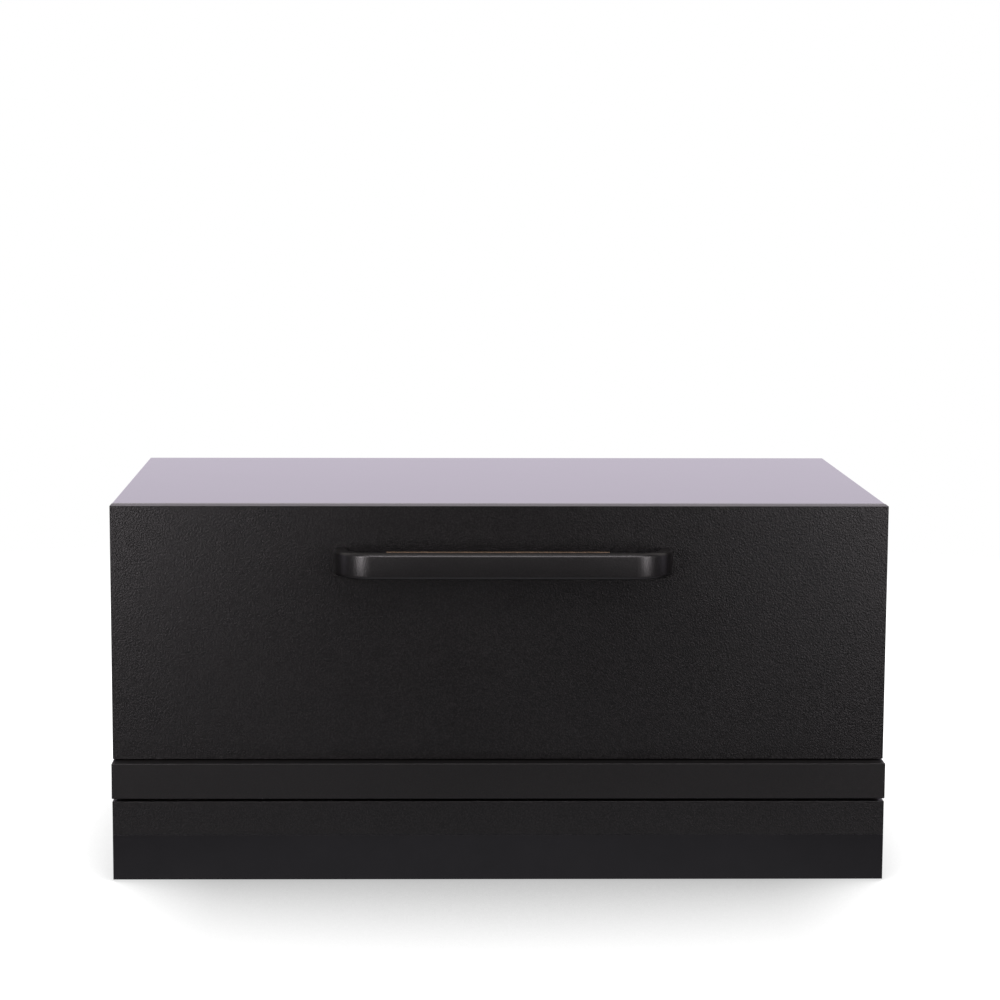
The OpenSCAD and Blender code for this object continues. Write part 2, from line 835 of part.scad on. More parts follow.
base_pan();
feet();
kick_plate();
plinth_panel();
left_side_panel();
right_side_panel();
top_panel();
back_panel();
inlet_cover();
left_frame();
right_frame();
top_frame();
deck_plate();
front_rail();
gearmotor_can();
gearbox();
motor_bracket();
motor_capacitor();
control_board();
drive_chain();
sync_chain();
screw_bearings();
screw_bushings();
power_inlet();
control_pocket();
start_switch();
power_switch();
key_switch();
ram_limit_switch();
slide_outer_members();
toe_bar_bushings();
toe_bar_springs();
latch_pin();
odor_filter();
cabinet_screws();
drawer_skin();
drawer_liner();
handle();
handle_screws();
drawer_tray();
bin();
slide_inner_members();
latch_strike();
slide_middle_members();
ram_box();
ram_beam();
ram_nuts();
ram_bolts();
toe_bar();
toe_bar_rods();
latch_lever();
latch_magnet();
left_power_screw();
left_sprocket();
right_power_screw();
right_sprocket();
drive_sprocket();
start_button();
power_rocker();
key_cylinder();
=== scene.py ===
"""Looks of a low, black, drawer-type trash compactor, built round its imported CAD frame."""
import json
import math

import bmesh
import bpy
from mathutils import Matrix, Vector


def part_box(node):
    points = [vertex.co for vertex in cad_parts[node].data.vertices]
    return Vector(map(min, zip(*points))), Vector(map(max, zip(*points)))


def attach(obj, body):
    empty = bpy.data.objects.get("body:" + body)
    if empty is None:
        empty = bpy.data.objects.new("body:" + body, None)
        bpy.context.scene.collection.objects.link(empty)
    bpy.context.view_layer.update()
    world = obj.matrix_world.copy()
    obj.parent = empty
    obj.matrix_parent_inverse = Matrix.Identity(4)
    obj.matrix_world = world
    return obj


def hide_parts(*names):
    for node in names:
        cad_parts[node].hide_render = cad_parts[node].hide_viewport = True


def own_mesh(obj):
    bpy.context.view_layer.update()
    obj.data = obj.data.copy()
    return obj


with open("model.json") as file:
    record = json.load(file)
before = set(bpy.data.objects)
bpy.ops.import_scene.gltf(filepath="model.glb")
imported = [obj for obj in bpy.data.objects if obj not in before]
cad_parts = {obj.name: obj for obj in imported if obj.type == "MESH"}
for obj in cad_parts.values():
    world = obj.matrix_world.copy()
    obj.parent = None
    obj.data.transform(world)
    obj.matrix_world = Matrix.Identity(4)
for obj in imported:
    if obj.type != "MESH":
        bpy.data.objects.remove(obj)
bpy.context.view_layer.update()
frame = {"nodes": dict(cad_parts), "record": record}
NODES = frame["nodes"]
MM = 0.001


# ---------------------------------------------------------------- materials

def map_range(tree, value, low, high, to_low=0.0, to_high=1.0, smooth=False):
    """Carries a node's output from the range low to high over to another range."""
    node = tree.nodes.new("ShaderNodeMapRange")
    if smooth:
        node.interpolation_type = "SMOOTHSTEP"
    for key, number in zip(("From Min", "From Max", "To Min", "To Max"), (low, high, to_low, to_high)):
        node.inputs[key].default_value = number
    tree.links.new(value, node.inputs["Value"])
    return node.outputs["Result"]


class Shader:
    """A Principled material whose texture nodes read the object's own metres."""

    def __init__(self, name, color, rough, metal=0.0, **sockets):
        self.material = bpy.data.materials.new(name)
        self.material.use_nodes = True
        self.tree = self.material.node_tree
        self.bsdf = self.tree.nodes["Principled BSDF"]
        self.coords = self.tree.nodes.new("ShaderNodeTexCoord").outputs["Object"]
        self.bsdf.inputs["Base Color"].default_value = (*color, 1)
        self.bsdf.inputs["Roughness"].default_value = rough
        self.bsdf.inputs["Metallic"].default_value = metal
        for key, value in sockets.items():
            self.bsdf.inputs[key.replace("_", " ")].default_value = value

    def link(self, output, target):
        self.tree.links.new(output, target)

    def stretched(self, scale):
        """The coordinates scaled unevenly, for brushed or drawn surfaces."""
        node = self.tree.nodes.new("ShaderNodeMapping")
        node.inputs["Scale"].default_value = scale
        self.link(self.coords, node.inputs["Vector"])
        return node.outputs["Vector"]

    def noise(self, scale, detail=3.0, rough=0.55, coords=None):
        node = self.tree.nodes.new("ShaderNodeTexNoise")
        node.inputs["Scale"].default_value = scale
        node.inputs["Detail"].default_value = detail
        node.inputs["Roughness"].default_value = rough
        self.link(coords or self.coords, node.inputs["Vector"])
        return node.outputs["Fac"]

    def cells(self, scale, feature="F1", output="Distance"):
        node = self.tree.nodes.new("ShaderNodeTexVoronoi")
        node.feature = feature
        node.inputs["Scale"].default_value = scale
        self.link(self.coords, node.inputs["Vector"])
        return node.outputs[output]

    def blend_color(self, value, first, second, low=0.3, high=0.7):
        node = self.tree.nodes.new("ShaderNodeMix")
        node.data_type = "RGBA"
        node.inputs[6].default_value = (*first, 1)
        node.inputs[7].default_value = (*second, 1)
        self.link(map_range(self.tree, value, low, high), node.inputs["Factor"])
        self.link(node.outputs[2], self.bsdf.inputs["Base Color"])

    def blend_rough(self, value, low_rough, high_rough, low=0.3, high=0.7):
        spread = map_range(self.tree, value, low, high, low_rough, high_rough)
        self.link(spread, self.bsdf.inputs["Roughness"])

    def bump(self, *layers):
        """Layers are (height output, strength, height in metres), finest last."""
        normal = None
        for height, strength, distance in layers:
            node = self.tree.nodes.new("ShaderNodeBump")
            node.inputs["Strength"].default_value = strength
            node.inputs["Distance"].default_value = distance
            self.link(height, node.inputs["Height"])
            if normal is not None:
                self.link(normal, node.inputs["Normal"])
            normal = node.outputs["Normal"]
        self.link(normal, self.bsdf.inputs["Normal"])


def powder_coat(name, dark, light, rough, grain, relief):
    """Baked powder coat: a fine orange-peel relief with paler tips and slight tone drift."""
    s = Shader(name, dark, rough)
    peel = s.noise(grain, 4.0, 0.6)
    s.blend_color(peel, dark, light, 0.42, 0.68)
    s.blend_rough(s.noise(9.0, 3.0), rough - 0.015, rough + 0.02)
    s.bump((s.noise(60.0, 2.0), 0.15, 0.00025), (s.cells(grain * 0.9), 0.5, relief), (peel, 0.8, relief))
    return s.material


def smooth_paint(name, color, other, rough, coat=0.0):
    """Sprayed paint: nearly flat, with a long faint ripple and dust-fine speckle."""
    s = Shader(name, color, rough, Coat_Weight=coat, Coat_Roughness=0.06)
    s.blend_color(s.noise(35.0, 5.0, 0.7), color, other)
    s.blend_rough(s.noise(14.0, 4.0), rough * 0.85, rough * 1.25)
    s.bump((s.noise(22.0, 2.0), 0.35, 0.00002), (s.noise(420.0, 2.0), 0.12, 0.00002))
    return s.material


def zinc_sheet(name, color, other, rough):
    """Galvanised sheet: large spangle cells that differ in tone and gloss."""
    s = Shader(name, color, rough, metal=1.0)
    flakes = s.cells(120.0, output="Color")
    tone = s.tree.nodes.new("ShaderNodeSeparateColor")
    s.link(flakes, tone.inputs["Color"])
    s.blend_color(tone.outputs["Red"], color, other, 0.0, 1.0)
    s.blend_rough(tone.outputs["Green"], rough - 0.04, rough + 0.05, 0.0, 1.0)
    s.bump((s.noise(240.0, 3.0), 0.2, 0.00003))
    return s.material


def drawn_metal(name, color, other, rough, along, metal=1.0):
    """Rolled, turned or drawn metal with fine lines; along holds the coordinate scales."""
    s = Shader(name, color, rough, metal=metal)
    lines = s.noise(1.0, 4.0, 0.6, s.stretched(along))
    s.blend_color(lines, color, other)
    s.blend_rough(lines, rough - 0.03, rough + 0.05)
    s.bump((lines, 0.08, 0.00001))
    return s.material


def moulded(name, color, other, rough, grain=1400.0, relief=0.00004):
    """Injection-moulded plastic or rubber with a spark-eroded grain."""
    s = Shader(name, color, rough)
    s.blend_color(s.noise(30.0, 4.0), color, other)
    grain_height = s.noise(grain, 3.0)
    s.blend_rough(grain_height, rough - 0.05, rough + 0.08)
    s.bump((grain_height, 0.4, relief))
    return s.material


def circuit_board(name):
    """Green solder mask, paler over the tracks, which stand up a little from the board."""
    s = Shader(name, (0.02, 0.12, 0.05), 0.35)
    tracks = s.cells(170.0, "DISTANCE_TO_EDGE")
    s.blend_color(tracks, (0.03, 0.2, 0.08), (0.012, 0.09, 0.035), 0.02, 0.05)
    s.bump((tracks, 0.4, 0.00005))
    return s.material


LOOKS = (
    # slot, maker, then what the maker takes after the name
    ("textured_black", powder_coat, (0.0012, 0.0011, 0.0012), (0.014, 0.0128, 0.0132), 0.38, 760.0, 0.0002),
    ("handle_black", powder_coat, (0.0025, 0.0023, 0.0024), (0.011, 0.01, 0.0103), 0.35, 700.0, 0.00008),
    ("strip_black", powder_coat, (0.006, 0.0057, 0.0057), (0.012, 0.0112, 0.0112), 0.4, 1300.0, 0.00003),
    # the next slot's warm colour paints a highlight along the handle's top rear edge
    ("painted_edge_highlight", powder_coat, (0.12, 0.075, 0.04), (0.27, 0.18, 0.11), 0.45, 700.0, 0.00005),
    ("gloss_black", smooth_paint, (0.008, 0.008, 0.0095), (0.012, 0.0115, 0.0135), 0.07, 0.3),
    ("kick_black", smooth_paint, (0.006, 0.0058, 0.007), (0.0085, 0.008, 0.0095), 0.22),
    ("galvanised", zinc_sheet, (0.56, 0.57, 0.58), (0.65, 0.66, 0.67), 0.4),
    ("zinc_steel", drawn_metal, (0.6, 0.61, 0.63), (0.68, 0.68, 0.68), 0.3, (260.0, 12.0, 260.0)),
    ("dark_screws", drawn_metal, (0.03, 0.03, 0.032), (0.06, 0.06, 0.062), 0.4, (600.0, 600.0, 600.0), 0.8),
    ("machined_steel", drawn_metal, (0.42, 0.42, 0.43), (0.6, 0.6, 0.6), 0.22, (20.0, 20.0, 900.0)),
    ("oiled_steel", drawn_metal, (0.12, 0.115, 0.11), (0.2, 0.19, 0.18), 0.32, (300.0, 300.0, 300.0)),
    ("spring_steel", drawn_metal, (0.42, 0.42, 0.44), (0.56, 0.56, 0.57), 0.25, (700.0, 60.0, 700.0)),
    ("bearing_steel", moulded, (0.07, 0.07, 0.075), (0.11, 0.11, 0.11), 0.55, 500.0, 0.0002),
    ("bronze", drawn_metal, (0.5, 0.33, 0.14), (0.66, 0.47, 0.24), 0.26, (20.0, 20.0, 900.0)),
    ("motor_grey", smooth_paint, (0.09, 0.1, 0.11), (0.13, 0.14, 0.15), 0.4),
    ("cast_aluminium", drawn_metal, (0.5, 0.5, 0.51), (0.64, 0.64, 0.65), 0.5, (380.0, 380.0, 380.0)),
    ("capacitor_can", drawn_metal, (0.6, 0.6, 0.61), (0.75, 0.75, 0.76), 0.22, (12.0, 500.0, 500.0)),
    ("circuit_green", circuit_board),
    ("black_plastic", moulded, (0.012, 0.012, 0.013), (0.02, 0.02, 0.021), 0.48),
    ("nylon", moulded, (0.6, 0.57, 0.48), (0.7, 0.67, 0.58), 0.42),
    ("filter_grey", moulded, (0.04, 0.04, 0.045), (0.07, 0.07, 0.075), 0.6),
    ("rubber", moulded, (0.012, 0.012, 0.012), (0.022, 0.022, 0.022), 0.75, 700.0, 0.00008),
    ("bin_grey", powder_coat, (0.07, 0.072, 0.076), (0.11, 0.112, 0.118), 0.42, 1000.0, 0.00004),
    ("ram_grey", powder_coat, (0.28, 0.285, 0.29), (0.36, 0.365, 0.37), 0.4, 1000.0, 0.00004),
    ("beam_blue", smooth_paint, (0.03, 0.06, 0.11), (0.045, 0.08, 0.135), 0.35),
    ("magnet", moulded, (0.03, 0.03, 0.032), (0.05, 0.05, 0.052), 0.6),
    ("green_button", moulded, (0.01, 0.16, 0.05), (0.014, 0.2, 0.065), 0.24, 900.0, 0.00001),
    ("red_rocker", moulded, (0.3, 0.012, 0.01), (0.36, 0.018, 0.014), 0.24, 900.0, 0.00001),
    ("key_chrome", drawn_metal, (0.7, 0.7, 0.71), (0.8, 0.8, 0.8), 0.1, (900.0, 300.0, 300.0)),
)
MATERIALS = {slot: maker(slot, *settings) for slot, maker, *settings in LOOKS}
HANDLE_PAINT = MATERIALS["handle_black"].node_tree.nodes["Principled BSDF"]
HANDLE_PAINT.inputs["Specular IOR Level"].default_value = 0.85


def set_material(obj, slot):
    obj.data.materials.clear()
    obj.data.materials.append(MATERIALS[slot])


# ---------------------------------------------------------------- mesh helpers

# The record knows these finer paints by one slot.
RECORD_SLOT = dict.fromkeys(("strip_black", "handle_black", "painted_edge_highlight"), "textured_black")


def add_mesh(name, bm, slot, body):
    """Makes a smooth-shaded piece from a bmesh, with its slot and the body it rides on."""
    bmesh.ops.remove_doubles(bm, verts=bm.verts, dist=1e-7)
    bmesh.ops.recalc_face_normals(bm, faces=bm.faces)
    mesh = bpy.data.meshes.new(name)
    bm.to_mesh(mesh)
    bm.free()
    obj = bpy.data.objects.new(name, mesh)
    bpy.context.scene.collection.objects.link(obj)
    set_material(obj, slot)
    mesh.polygons.foreach_set("use_smooth", [True] * len(mesh.polygons))
    mesh.set_sharp_from_angle(angle=math.radians(40))
    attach(obj, body)
    return obj


def soften_node(name, width):
    """Gives a CAD node folded-sheet edges: welds and dissolves its triangles, then bevels."""
    obj = NODES[name]
    weld = obj.modifiers.new("weld", "WELD")
    weld.merge_threshold = 0.002 * MM
    flat = obj.modifiers.new("flat", "DECIMATE")
    flat.decimate_type = "DISSOLVE"
    flat.angle_limit = math.radians(0.4)
    bevel = obj.modifiers.new("edge", "BEVEL")
    bevel.width = width
    bevel.segments = 2
    bevel.limit_method = "ANGLE"
    bevel.angle_limit = math.radians(30)
    bevel.harden_normals = True


def round_rect(width, height, radius, steps=4):
    """The outline of a rectangle with round corners, as (u, v) points round the middle."""
    corners = ((1, 1, 0), (-1, 1, 90), (-1, -1, 180), (1, -1, 270))
    points = []
    for side_u, side_v, start in corners:
        for i in range(steps + 1):
            angle = math.radians(start + 90.0 * i / steps)
            points.append((side_u * (width / 2 - radius) + radius * math.cos(angle),
                           side_v * (height / 2 - radius) + radius * math.sin(angle)))
    return points


def ellipse(reach_u, reach_v, sides):
    angles = [2 * math.pi * k / sides for k in range(sides)]
    return [(reach_u * math.cos(angle), reach_v * math.sin(angle)) for angle in angles]


def circle(radius, sides=12):
    return ellipse(radius, radius, sides)


def sweep(bm, points, outline, closed=False, up=(0, 0, 1)):
    """Carries an outline along points: u goes to the side of the line and v upwards."""
    above = Vector(up)
    rings = []
    last = len(points) - 1
    for i, point in enumerate(points):
        before = points[i - 1] if i or closed else point
        after = points[(i + 1) % len(points)] if i < last or closed else point
        along = (Vector(after) - Vector(before)).normalized()
        side = along.cross(above).normalized()
        above = side.cross(along)
        rings.append([bm.verts.new(Vector(point) + side * u + above * v) for u, v in outline])
    following = rings[1:] + (rings[:1] if closed else [])
    count = len(outline)
    for first, second in zip(rings, following):
        for k in range(count):
            bm.faces.new((first[k - 1], first[k], second[k], second[k - 1]))
    if not closed:
        bm.faces.new(rings[0])
        bm.faces.new(rings[-1])


def lathe(bm, profile, centre, steps, axis="Z"):
    """Turns (radius, height) points round the upright or the X axis through centre."""
    turn = Matrix.Rotation(math.radians(90 if axis == "X" else 0), 3, "Y")
    rings = []
    for radius, height in profile:
        if radius < 1e-9:
            rings.append([bm.verts.new(Vector(centre) + turn @ Vector((0, 0, height)))])
            continue
        rings.append([bm.verts.new(Vector(centre) + turn @ Vector((radius * u, radius * v, height)))
                      for u, v in circle(1.0, steps)])
    for first, second in zip(rings, rings[1:]):
        for k in range(steps):
            corners = [first[k % len(first)], first[(k - 1) % len(first)],
                       second[(k - 1) % len(second)], second[k % len(second)]]
            bm.faces.new(list(dict.fromkeys(corners)))


def prism(bm, outline, start, end, to_point):
    """Extrudes a flat outline from start to end; to_point(u, v, depth) places each corner."""
    rings = [[bm.verts.new(to_point(u, v, depth)) for u, v in outline] for depth in (start, end)]
    for k in range(len(outline)):
        bm.faces.new((rings[0][k - 1], rings[0][k], rings[1][k], rings[1][k - 1]))
    bm.faces.new(rings[0])
    bm.faces.new(rings[1])


def loop_xz(half_x, low_z, high_z, radius, y, steps=6):
    """A closed rectangular route with round corners, upright at one y."""
    middle = (low_z + high_z) / 2
    return [(u, y, middle + v) for u, v in round_rect(2 * half_x, high_z - low_z, radius, steps)]


# ---------------------------------------------------------------- carried-over nodes

SLOT_OF = {row["node"]: row["material_slot"] for row in frame["record"]["subparts"]}
SMOOTHER = {"toe_bar": "strip_black"}
for node_name, node_object in NODES.items():
    set_material(node_object, SMOOTHER.get(node_name, SLOT_OF[node_name]))


EDGE_WIDTHS = {
    "drawer_skin": 1.2 * MM, "toe_bar": 1.8 * MM, "plinth_panel": 0.35 * MM, "kick_plate": 0.15 * MM,
    "top_panel": 1.0 * MM, "left_side_panel": 0.5 * MM, "right_side_panel": 0.5 * MM,
    "back_panel": 0.4 * MM, "inlet_cover": 0.4 * MM, "bin": 1.6 * MM, "ram_box": 1.0 * MM,
    "drawer_tray": 0.5 * MM, "control_pocket": 0.5 * MM, "ram_beam": 1.0 * MM, "drawer_liner": 0.4 * MM,
    "left_frame": 0.4 * MM, "right_frame": 0.4 * MM, "deck_plate": 0.4 * MM, "front_rail": 0.4 * MM,
    "slide_outer_members": 0.3 * MM, "slide_middle_members": 0.3 * MM, "slide_inner_members": 0.3 * MM,
    "gearbox": 1.5 * MM, "odor_filter": 0.8 * MM, "power_inlet": 0.6 * MM, "latch_strike": 0.5 * MM,
    "latch_magnet": 0.4 * MM, "power_rocker": 0.6 * MM, "key_cylinder": 0.4 * MM, "start_button": 0.9 * MM,
    "ram_limit_switch": 0.5 * MM, "base_pan": 0.5 * MM, "top_frame": 0.4 * MM,
}
for node_name, edge_width in EDGE_WIDTHS.items():
    soften_node(node_name, edge_width)


# ---------------------------------------------------------------- drawer pieces

def handle_route(low, high, thick, bend, arc_steps=14):
    """The middle line of the grip: out of the front, round a bend, along, and back."""
    middle_x, middle_z = (low[0] + high[0]) / 2, (low[2] + high[2]) / 2
    leg_x, bar_y = (high[0] - low[0] - thick) / 2, low[1] + thick / 2
    half = [(-leg_x, high[1])]
    for i in range(arc_steps + 1):
        turn = math.radians(90.0 * i / arc_steps)
        half.append((-leg_x + bend * (1 - math.cos(turn)), bar_y + bend * (1 - math.sin(turn))))
    half.append((-leg_x / 3, bar_y))
    whole = half + [(-x, y) for x, y in reversed(half)]
    return [(middle_x + x, y, middle_z) for x, y in whole]


def add_handle():
    """The bow handle, one rounded bar, with a thin warm bead along its top rear edge that is a painted
    highlight.
    """
    low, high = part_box("handle")
    thick, bend = 11.0 * MM, 24.0 * MM
    route = handle_route(low, high, thick, bend)
    bm = bmesh.new()
    sweep(bm, route, round_rect(thick, high[2] - low[2], 3.0 * MM, 6))
    handle = add_mesh("bow_handle", bm, "handle_black", "drawer")
    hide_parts("handle")
    # the bead is a painted highlight: its warm colour stands for light caught on the top rear edge
    bead_radius, steps = 0.45 * MM, 12
    edge_y, edge_z = low[1] + thick - 1.6 * MM, high[2]
    start_x, end_x = low[0] + 41 * MM, high[0] - 50 * MM
    bm = bmesh.new()
    line = [(start_x + (end_x - start_x) * i / steps, edge_y, edge_z) for i in range(steps + 1)]
    sweep(bm, line, circle(bead_radius, 10))
    add_mesh("handle_highlight_bead", bm, "painted_edge_highlight", "drawer")


def add_gasket():
    """A flat lip seal round the drawer's inner face, squeezed in the gap at the mouth."""
    low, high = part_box("drawer_liner")
    bm = bmesh.new()
    route = loop_xz(high[0] - 6 * MM, low[2] + 5 * MM, high[2] - 5 * MM, 5 * MM, high[1] + 0.4 * MM)
    sweep(bm, route, [(v, u) for u, v in round_rect(0.8 * MM, 7 * MM, 0.35 * MM, 3)], True, (0, 1, 0))
    add_mesh("drawer_gasket", bm, "rubber", "drawer")


def add_liner_swage():
    """A pressed frame that stiffens the inner sheet of the drawer front."""
    low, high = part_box("drawer_liner")
    tray_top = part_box("drawer_tray")[1][2]
    bm = bmesh.new()
    route = loop_xz(high[0] - 32 * MM, tray_top + 9 * MM, high[2] - 20 * MM, 14 * MM, high[1])
    sweep(bm, route, ellipse(3.5 * MM, 0.8 * MM, 16), True, (0, 1, 0))
    add_mesh("liner_swage", bm, "galvanised", "drawer")


def add_bin_ribs():
    """Pressed ribs on the bin's walls and floor."""
    low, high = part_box("bin")
    rim, wall = 4 * MM, 2 * MM
    inner_x, inner_y = high[0] - rim - wall, high[1] - rim - wall
    floor_z, top_z = low[2] + wall, high[2] - 14 * MM
    foot_z = floor_z + 6 * MM
    across_gap, along_gap, end_gap = 50 * MM, 44 * MM, 20 * MM
    outline = ellipse(2.6 * MM, 1.3 * MM, 12)
    bm = bmesh.new()
    for i in range(-4, 5):
        for side in (-1, 1):
            at_x, at_y = i * across_gap, side * inner_y
            sweep(bm, [(at_x, at_y, foot_z), (at_x, at_y, top_z)], outline, up=(0, 1, 0))
    for i in range(-2, 3):
        for side in (-1, 1):
            at_x, at_y = side * inner_x, i * along_gap
            sweep(bm, [(at_x, at_y, foot_z), (at_x, at_y, top_z)], outline, up=(1, 0, 0))
        reach_x, at_y = inner_x - end_gap, i * along_gap
        sweep(bm, [(-reach_x, at_y, floor_z), (reach_x, at_y, floor_z)], outline)
    add_mesh("bin_ribs", bm, "bin_grey", "drawer")


add_handle()
add_gasket()
add_liner_swage()
add_bin_ribs()


# ---------------------------------------------------------------- slides

def add_slide_balls():
    """Rows of balls in their retainers, above and below each middle slide member."""
    middle_low, middle_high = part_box("slide_middle_members")
    outer_low, outer_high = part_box("slide_outer_members")
    inner_low, inner_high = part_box("slide_inner_members")
    centre_z, sheet = (outer_low[2] + outer_high[2]) / 2, 1.2 * MM
    rows = (
        # distance of the row from the centre line, ball radius, its x, its first and last ball
        ((outer_high[2] + middle_high[2] - sheet) / 2 - centre_z,
         (outer_high[2] - sheet - middle_high[2]) / 2 - 0.1 * MM,
         middle_high[0] - 3.6 * MM, 12 * MM, middle_high[1] - 12 * MM),
        ((middle_high[2] - sheet + inner_high[2]) / 2 - centre_z,
         (middle_high[2] - sheet - inner_high[2]) / 2 - 0.1 * MM,
         inner_high[0] - 2.6 * MM, middle_low[1] + 8 * MM, -10 * MM),
    )
    count = 11
    balls, strips = bmesh.new(), bmesh.new()
    for side in (-1, 1):
        for level in (-1, 1):
            for rise, radius, at_x, first_y, last_y in rows:
                at_z = centre_z + level * rise
                for i in range(count):
                    at_y = first_y + (last_y - first_y) * i / (count - 1)
                    place = Matrix.Translation((side * at_x, at_y, at_z))
                    bmesh.ops.create_uvsphere(balls, u_segments=14, v_segments=9, radius=radius,
                                              matrix=place)
                line = [(side * at_x, first_y - 4 * MM, at_z), (side * at_x, last_y + 4 * MM, at_z)]
                sweep(strips, line, round_rect(2 * radius - 0.6 * MM, 0.8 * MM, 0.3 * MM, 2))
    add_mesh("slide_balls", balls, "key_chrome", "middle_slides")
    add_mesh("ball_retainers", strips, "bronze", "middle_slides")


add_slide_balls()


# ---------------------------------------------------------------- ram and drive

def add_ram_ribs():
    """A grid of pressed ribs under the ram's face, which bites into the refuse."""
    low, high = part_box("ram_box")
    bm = bmesh.new()
    outline = ellipse(4 * MM, 2 * MM, 14)
    border, gap_x, gap_y = 14 * MM, 40 * MM, 44 * MM
    reach_x, reach_y, face_z = high[0] - border, high[1] - border, low[2]
    for i in range(-5, 6):
        sweep(bm, [(i * gap_x, -reach_y, face_z), (i * gap_x, reach_y, face_z)], outline)
    for i in range(-2, 3):
        sweep(bm, [(-reach_x, i * gap_y, face_z), (reach_x, i * gap_y, face_z)], outline)
    add_mesh("ram_face_ribs", bm, "ram_grey", "ram")


def thread_radius(turn_share, root, crest):
    """A trapezoidal thread's radius at a share 0 to 1 of its pitch."""
    flank, land = 0.16, 0.34
    if turn_share < flank:
        return root + (crest - root) * turn_share / flank
    if turn_share < flank + land:
        return crest
    if turn_share < 2 * flank + land:
        return crest - (crest - root) * (turn_share - flank - land) / flank
    return root


def add_power_screw(node, body):
    """A two-start trapezoidal screw with plain journals, in place of the ringed CAD bar."""
    low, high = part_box(node)
    centre_x = (low[0] + high[0]) / 2
    crest, root, journal, chamfer = 9 * MM, 7.4 * MM, 6 * MM, 0.6 * MM
    pitch, starts, steps, row = 6 * MM, 2, 36, 0.5 * MM
    thread_low, thread_high = 62 * MM, high[2] - 7 * MM
    rows = round((thread_high - thread_low) / row)
    # each level is a height and a plain radius, or None where the thread gives the radius
    levels = [(low[2], journal - chamfer), (low[2] + chamfer, journal), (thread_low, journal)]
    levels += [(thread_low + row * i, None) for i in range(rows + 1)]
    levels += [(thread_high, journal), (high[2] - chamfer, journal), (high[2], journal - chamfer)]
    bm = bmesh.new()
    rings = []
    for z, plain in levels:
        ring = []
        for k in range(steps):
            angle = 2 * math.pi * k / steps
            radius = plain or thread_radius((z / pitch - starts * k / steps) % 1.0, root, crest)
            ring.append(bm.verts.new((centre_x + radius * math.cos(angle), radius * math.sin(angle), z)))
        rings.append(ring)
    for first, second in zip(rings, rings[1:]):
        for k in range(steps):
            bm.faces.new((first[k - 1], first[k], second[k], second[k - 1]))
    bm.faces.new(rings[0])
    bm.faces.new(rings[-1])
    screw = add_mesh(node.replace("power_screw", "threaded_screw"), bm, "machined_steel", body)
    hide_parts(node)


def link_plate(bm, place, pitch, half_h, low_z, high_z):
    """A waisted link plate from one pin to the next."""
    outline = []
    for pin_x, side in ((pitch, 1), (0, -1)):
        for i in range(7):
            angle = math.radians(-75 + 150 * i / 6)
            outline.append((pin_x + side * half_h * math.cos(angle), side * half_h * math.sin(angle)))
        outline.append((pitch / 2, side * half_h * 0.62))
    prism(bm, outline, low_z, high_z, lambda u, v, depth: place @ Vector((u, v, depth)))


def add_chain(node, name, start, end):
    """A roller chain round two equal sprockets: alternate inner and outer links and rollers."""
    low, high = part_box(node)
    radius, height = 18 * MM, high[2] - low[2]
    link_length, plate, plate_half, roller, roller_inset = 9.3 * MM, 0.9 * MM, 2.1 * MM, 1.9 * MM, 2.0 * MM
    start, end = Vector(start), Vector(end)
    run = (end - start).length
    along = (end - start).normalized()
    across = Vector((-along.y, along.x))
    around = 2 * run + 2 * math.pi * radius
    count = 2 * round(around / link_length / 2)
    pitch = around / count

    def place(distance):
        """The chain line's point at a distance round the loop."""
        distance %= around
        if distance < run:
            return start + along * distance - across * radius
        distance -= run
        if distance < math.pi * radius:
            turn = distance / radius
            return end + (along * math.sin(turn) - across * math.cos(turn)) * radius
        distance -= math.pi * radius
        if distance < run:
            return end - along * distance + across * radius
        turn = (distance - run) / radius
        return start + (-along * math.sin(turn) + across * math.cos(turn)) * radius

    bm = bmesh.new()
    for i in range(count):
        at, ahead = place(i * pitch), place((i + 1) * pitch)
        step = ahead - at
        turn = Matrix.Rotation(math.atan2(step.y, step.x), 4, "Z")
        here = Matrix.Translation((at.x, at.y, low[2])) @ turn
        inset = 0.0 if i % 2 else 1.0 * MM
        for base in (inset, height - inset - plate):
            link_plate(bm, here, step.length, plate_half, base, base + plate)
        lathe(bm, [(0, roller_inset), (roller, roller_inset), (roller, height - roller_inset),
                   (0, height - roller_inset)], (at.x, at.y, low[2]), 10)
    chain = add_mesh(name, bm, "oiled_steel", "cabinet")
    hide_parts(node)


def add_return_springs():
    """Wound springs on the toe bar's guide rods."""
    low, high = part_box("toe_bar_springs")
    centre_z, length = (low[2] + high[2]) / 2, high[1] - low[1]
    coil_r, wire_r, turns, per_turn = 5.4 * MM, 0.7 * MM, 7, 20
    crowding = 0.035  # the turns lie a little closer at the middle than at the ends
    bm = bmesh.new()
    for side in (-1, 1):
        at_x = side * (high[0] - coil_r - wire_r)
        route = []
        for i in range(turns * per_turn + 1):
            share = i / (turns * per_turn)
            reached = share + crowding * math.sin(2 * math.pi * share)
            angle = 2 * math.pi * i / per_turn
            at_y = low[1] + wire_r + (length - 2 * wire_r) * reached
            route.append((at_x + coil_r * math.cos(angle), at_y, centre_z + coil_r * math.sin(angle)))
        sweep(bm, route, circle(wire_r, 8), up=(1, 0, 0))
    springs = add_mesh("return_springs", bm, "spring_steel", "cabinet")
    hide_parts("toe_bar_springs")
    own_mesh(springs)


